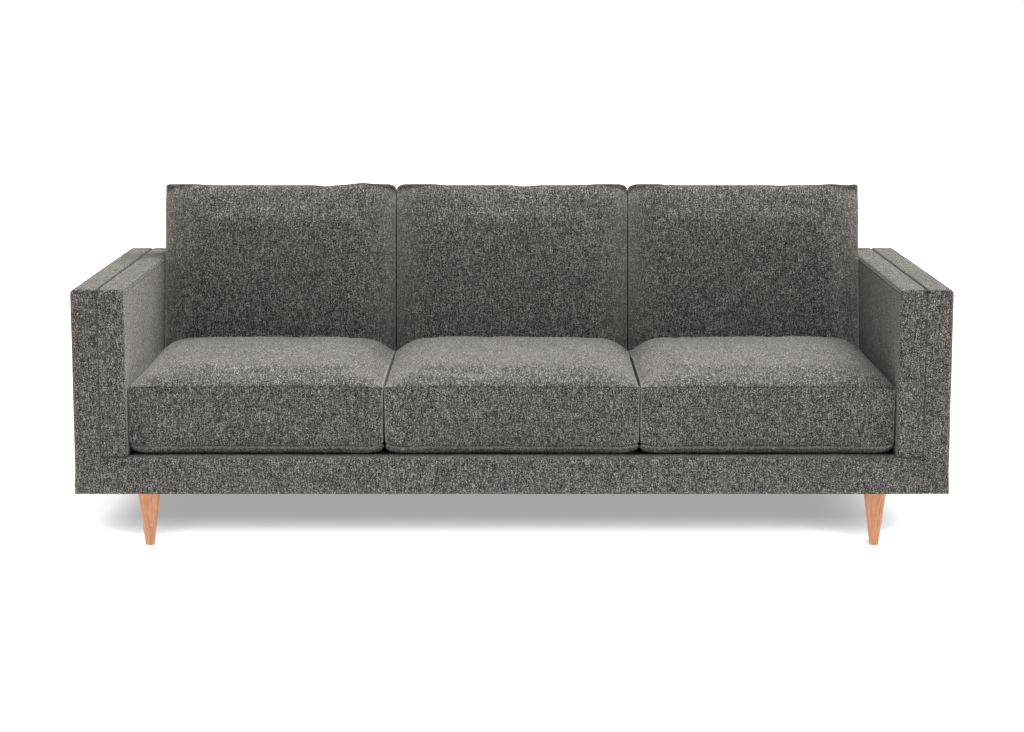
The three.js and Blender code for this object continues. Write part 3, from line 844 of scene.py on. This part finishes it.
def outer_arm(side_name, side, material):
    low, high = node_box(f"outer_arm_cover_{side_name}")
    piece = padded_block(
        f"outer_arm_{side_name}", low, high, material, 11 + side, (1.5, 0.6, 1.2), ((0, -side), (2, -1)),
        soft_side=(0, side),
    )
    place(piece, "frame", "tweed", f"outer_arm_cover_{side_name}")


STITCH_DROPS = (5 * MM, 13 * MM)
STITCH_DEPTH = 1.4 * MM
ARM_FOOT_EDGE = 3.5 * MM


def inner_arm(side_name, side, material):
    """The inner layer, with two rows of stitching along the top of the face beside the seats."""
    low, high = node_box(f"inner_arm_cover_{side_name}")
    stitched = [(2, high[2] - drop, (0, -side), STITCH_DEPTH) for drop in STITCH_DROPS]
    piece = padded_block(
        f"inner_arm_{side_name}", low, high, material, 15 + side, (0.2, 0.6, 1.5),
        ((0, side), (1, 1), (2, -1)), seams=stitched, soft_side=(0, -side), foot_edge=ARM_FOOT_EDGE,
    )
    place(piece, "frame", "tweed", f"inner_arm_cover_{side_name}", fill=0.95)


def outer_back(material):
    low, high = node_box("back_outer_cover")
    butts_on = ((0, -1), (0, 1), (1, -1), (2, -1))
    piece = padded_block("outer_back", low, high, material, 21, (0, 1.5, 1), butts_on)
    place(piece, "frame", "tweed", "back_outer_cover")


def inner_back(material):
    low, high = node_box("inner_back_cover")
    butts_on = ((0, -1), (0, 1), (1, 1), (2, -1))
    piece = padded_block("inner_back", low, high, material, 23, (0, 1, 1.5), butts_on, front_slope=LEAN)
    place(piece, "frame", "tweed", "inner_back_cover", fill=0.95)


RAIL_THICK = 3 * MM
RAIL_BEND = 16 * MM
RAIL_SQUARE = 3.5 * MM
RAIL_RIPPLE = 0.8 * MM
RAIL_COLUMNS = 260
RAIL_FACE_POINTS = 9
RAIL_LEDGE_FROM = 15  # the first point of the outline that belongs to the ledge


def rail_section(low, high, bend):
    """The strip's outline, front to back and round again: up the face, over the edge, back."""
    inner_bend = max(bend - RAIL_THICK, 0.3 * MM)
    arc = [math.radians(a) for a in np.linspace(180, 90, 9)]
    top = high[2]
    outer = [(low[1], z) for z in np.linspace(low[2], top - bend, RAIL_FACE_POINTS)]
    outer += [(low[1] + bend + bend * math.cos(a), top - bend + bend * math.sin(a)) for a in arc[1:]]
    outer += [(y, top) for y in np.linspace(low[1] + bend, high[1], 5)[1:]]
    middle_y = low[1] + RAIL_THICK + inner_bend
    middle_z = top - RAIL_THICK - inner_bend
    inner = [(high[1], top - RAIL_THICK)]
    inner += [
        (middle_y + inner_bend * math.cos(a), middle_z + inner_bend * math.sin(a))
        for a in reversed(arc)
    ]
    inner += [(low[1] + RAIL_THICK, low[2])]
    return outer + inner, len(outer)


def front_rail(material):
    """The strip up the front rail. Its top edge is rounded between the arms and square below
    them."""
    low, high = node_box("front_rail_cover")
    arm_face = node_box("inner_arm_cover_right")[0][0]
    columns = np.linspace(low[0], high[0], RAIL_COLUMNS)
    points, faces = [], []
    for i, x in enumerate(columns):
        between_arms = smooth_step((arm_face + 5 * MM - abs(x)) / (18 * MM))
        section, outer = rail_section(low, high, RAIL_SQUARE + (RAIL_BEND - RAIL_SQUARE) * between_arms)
        count = len(section)
        for k, (y, z) in enumerate(section):
            ripple = noise.noise((x * 9, y * 9, z * 14)) * RAIL_RIPPLE * between_arms
            on_face = k < RAIL_FACE_POINTS
            on_ledge = RAIL_LEDGE_FROM <= k < outer
            points.append((x, y - abs(ripple) * on_face, z + ripple * on_ledge))
        if i:
            for k in range(count):
                a, b = (i - 1) * count + k, (i - 1) * count + (k + 1) % count
                faces.append((a, a + count, b + count, b))
    faces.append(tuple(range(count)))
    faces.append(tuple(reversed(range(len(points) - count, len(points)))))
    piece = mesh_piece("front_rail_strip", points, faces, material)
    place(piece, "frame", "tweed", "front_rail_cover")


DECK_BAND = 90 * MM
DECK_EDGE = 1 * MM
DECK_SAG = 1.6 * MM
DECK_SEAM = (1.2 * MM, 5 * MM)  # (depth, width)


def deck(band_material, cloth_material):
    """The cover over the springs: a band of tweed along the front, and plain cloth behind it."""
    low, high = node_box("deck_cover")
    half = (high - low) / 2
    flat, faces = box_surface(*(lines(h, DECK_EDGE, 15 * MM, arc=1) for h in half))
    points, facing = rounded(flat, half, DECK_EDGE)
    sewn = low[1] + DECK_BAND
    points += (low + high) / 2
    on_top = np.clip(facing[:, 2], 0, 1)
    points[:, 2] -= on_top * np.abs(waves(points, 130 * MM, 41)) * DECK_SAG
    points[:, 2] += on_top * groove(points[:, 1] - sewn, *DECK_SEAM)
    piece = mesh_piece("deck", points, faces, band_material)
    piece.data.materials.append(cloth_material)
    for face in piece.data.polygons:
        face.material_index = int(face.center.y > sewn)
    place(piece, "frame", "deck_cloth", "deck_cover")


# ---- Legs ----------------------------------------------------------------------------------


LEG_FOOT = 11.5 * MM
LEG_EASE = 2.2 * MM
LEG_TURNS = 56


def leg_profile(top, tall):
    """(radius, height) from the middle of the foot up to the edge of the top."""
    rings = [(LEG_FOOT - LEG_EASE, 0)]
    rings += [
        (LEG_FOOT - LEG_EASE + LEG_EASE * math.sin(a), LEG_EASE - LEG_EASE * math.cos(a))
        for a in np.linspace(0, math.pi / 2, 6)[1:]
    ]
    slope = (top - LEG_FOOT) / (tall - 2 * LEG_EASE)
    rings += [
        (LEG_FOOT + slope * (z - LEG_EASE), z) for z in np.linspace(LEG_EASE, tall - LEG_EASE, 14)[1:]
    ]
    return rings + [(top - LEG_EASE, tall)]


def leg(corner, material):
    """A turned taper with eased edges."""
    low, high = node_box(f"leg_{corner}")
    centre = (low + high) / 2
    rings = leg_profile((high[0] - low[0]) / 2, high[2])
    points, faces = [], []
    for radius, z in rings:
        for k in range(LEG_TURNS):
            a = 2 * math.pi * k / LEG_TURNS
            points.append((centre[0] + radius * math.cos(a), centre[1] + radius * math.sin(a), z))
    for r in range(len(rings) - 1):
        for k in range(LEG_TURNS):
            a, b = r * LEG_TURNS + k, r * LEG_TURNS + (k + 1) % LEG_TURNS
            faces.append((a, b, b + LEG_TURNS, a + LEG_TURNS))
    faces.append(tuple(reversed(range(LEG_TURNS))))
    faces.append(tuple(range(len(points) - LEG_TURNS, len(points))))
    piece = mesh_piece(f"wood_leg_{corner}", points, faces, material)
    place(piece, "frame", "leg_wood", f"leg_{corner}")


# ---- Room ----------------------------------------------------------------------------------


FLOOR_REACH = 500
FLOOR_COLOUR = (0.36, 0.36, 0.36, 1)
FLOOR_GLOW = 0.365
ROOM_LIGHT = 0.25  # how strongly the white all round lights things, and how white it looks
ROOM_WHITE = 1.05


def white_room():
    """A pale floor that glows a little, so that shadows on it stay light, and white all round."""
    mesh = bpy.data.meshes.new("floor")
    corners = [(x * FLOOR_REACH, y * FLOOR_REACH, 0) for x, y in ((-1, -1), (1, -1), (1, 1), (-1, 1))]
    mesh.from_pydata(corners, [], [(0, 1, 2, 3)])
    floor = bpy.data.objects.new("floor", mesh)
    bpy.context.collection.objects.link(floor)
    nodes = Nodes("pale_floor")
    mesh.materials.append(nodes.surface(
        FLOOR_COLOUR, 0.9, Specular_IOR_Level=0.0, Emission_Color=(1, 1, 1, 1), Emission_Strength=FLOOR_GLOW,
    ))
    floor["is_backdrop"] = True
    world = bpy.data.worlds.new("studio")
    world.use_nodes = True
    tree = world.node_tree
    background = tree.nodes["Background"]
    background.inputs[0].default_value = (1, 1, 1, 1)
    seen = tree.nodes.new("ShaderNodeLightPath").outputs["Is Camera Ray"]
    level = tree.nodes.new("ShaderNodeMapRange")
    level.inputs["To Min"].default_value = ROOM_LIGHT
    level.inputs["To Max"].default_value = ROOM_WHITE
    tree.links.new(seen, level.inputs["Value"])
    tree.links.new(level.outputs[0], background.inputs[1])
    bpy.context.scene.world = world
    return floor


def collection(name, objects):
    """A set of objects that a light can be limited to."""
    made = bpy.data.collections.new(name)
    for thing in objects:
        made.objects.link(thing)
    return made


def sun(name, toward, strength, spread, lit, blocked_by=None):
    """A broad studio light on one collection, from the direction toward, spread over an angle
    in degrees. Only blocked_by casts shadows in it, where that is given."""
    light = bpy.data.lights.new(name, "SUN")
    light.energy = strength
    light.angle = math.radians(spread)
    lamp = bpy.data.objects.new(name, light)
    lamp.rotation_euler = Vector(toward).to_track_quat("Z", "Y").to_euler()
    bpy.context.collection.objects.link(lamp)
    lamp.light_linking.receiver_collection = lit
    if blocked_by:
        lamp.light_linking.blocker_collection = blocked_by


CAMERA_LENS = 85  # millimetres, on a sensor 36 wide
CAMERA_PLACE = (0, -6.4005, 1.4138)
CAMERA_TILT = 81  # degrees up from straight down


def camera():
    data = bpy.data.cameras.new("camera")
    data.lens = CAMERA_LENS
    data.sensor_width = 36
    data.clip_end = 100
    shot = bpy.data.objects.new("camera", data)
    shot.location = CAMERA_PLACE
    shot.rotation_euler = (math.radians(CAMERA_TILT), 0, 0)
    bpy.context.collection.objects.link(shot)
    bpy.context.scene.camera = shot


# ---- Build ---------------------------------------------------------------------------------

bpy.context.scene.view_settings.view_transform = "Standard"
camera()
stage_set = collection("stage_set", [white_room()])

tweed_cloth = tweed("tweed")
leg_wood = grain_wood("leg_wood", (0.655, 0.295, 0.131), (0.45, 0.16, 0.062), 2, 0.42)
node_looks = {
    "zinc_steel": drawn_steel("zinc_steel", (0.62, 0.63, 0.65), 0.38),
    "frame_timber": grain_wood("frame_timber", (0.62, 0.45, 0.26), (0.45, 0.30, 0.16), 0, 0.75),
    "spring_steel": drawn_steel("spring_steel", (0.30, 0.31, 0.33), 0.42),
    "webbing": plain_cloth("webbing", (0.05, 0.05, 0.055), 1.4 * MM),
    "foam": open_foam("foam"),
    "deck_cloth": plain_cloth("deck_cloth", (0.06, 0.057, 0.053), 0.9 * MM),
    "dust_cloth": plain_cloth("dust_cloth", (0.018, 0.018, 0.019), 0.7 * MM, 0.97),
}
for part in frame["record"]["subparts"]:
    look = node_looks.get(part["material_slot"])
    if look:
        cad_mesh = frame["nodes"][part["node"]].data
        cad_mesh.materials.clear()
        cad_mesh.materials.append(look)

for number, seat in enumerate(SEATS):
    seat_cushion(seat, 2 + number, tweed_cloth)
    back_cushion(seat, 31 + number, tweed_cloth)
for side_name, side in SIDES:
    outer_arm(side_name, side, tweed_cloth)
    inner_arm(side_name, side, tweed_cloth)
    for end in ("front", "rear"):
        leg(f"{end}_{side_name}", leg_wood)
outer_back(tweed_cloth)
inner_back(tweed_cloth)
front_rail(tweed_cloth)
deck(tweed_cloth, node_looks["deck_cloth"])

sofa_set = collection("sofa_set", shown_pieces())
back_set = collection("back_set", [bpy.data.objects[f"back_cushion_{seat}"] for seat in SEATS])
rail_set = collection("rail_set", [bpy.data.objects["front_rail_strip"]])
shade_set = collection(
    "shade_set", [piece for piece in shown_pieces() if not piece.name.startswith("outer_arm")]
)

sun("key", (0.33, 0.38, 0.86), strength=6.5, spread=60, lit=sofa_set)
sun("left_fill", (-0.80, -0.20, 0.57), strength=0.38, spread=60, lit=sofa_set)
sun("floor_bounce", (0.0, -0.82, -0.57), strength=0.08, spread=50, lit=sofa_set, blocked_by=sofa_set)
sun("back_lift", (0.0, -0.50, -0.86), strength=0.32, spread=40, lit=back_set, blocked_by=back_set)
for side_name, side in SIDES:
    toward = (0.98 * side, 0.0, 0.16)
    sun(f"back_wash_{side_name}", toward, strength=1.7, spread=50, lit=back_set, blocked_by=back_set)
sun("rail_wash", (0.0, 0.0, 1.0), strength=1.3, spread=20, lit=rail_set, blocked_by=rail_set)
for number, across in enumerate((-0.16, 0.14, 0.44)):
    toward = (across, -0.85, 0.50)
    sun(f"floor_light_{number}", toward, strength=7.4, spread=24, lit=stage_set, blocked_by=shade_set)
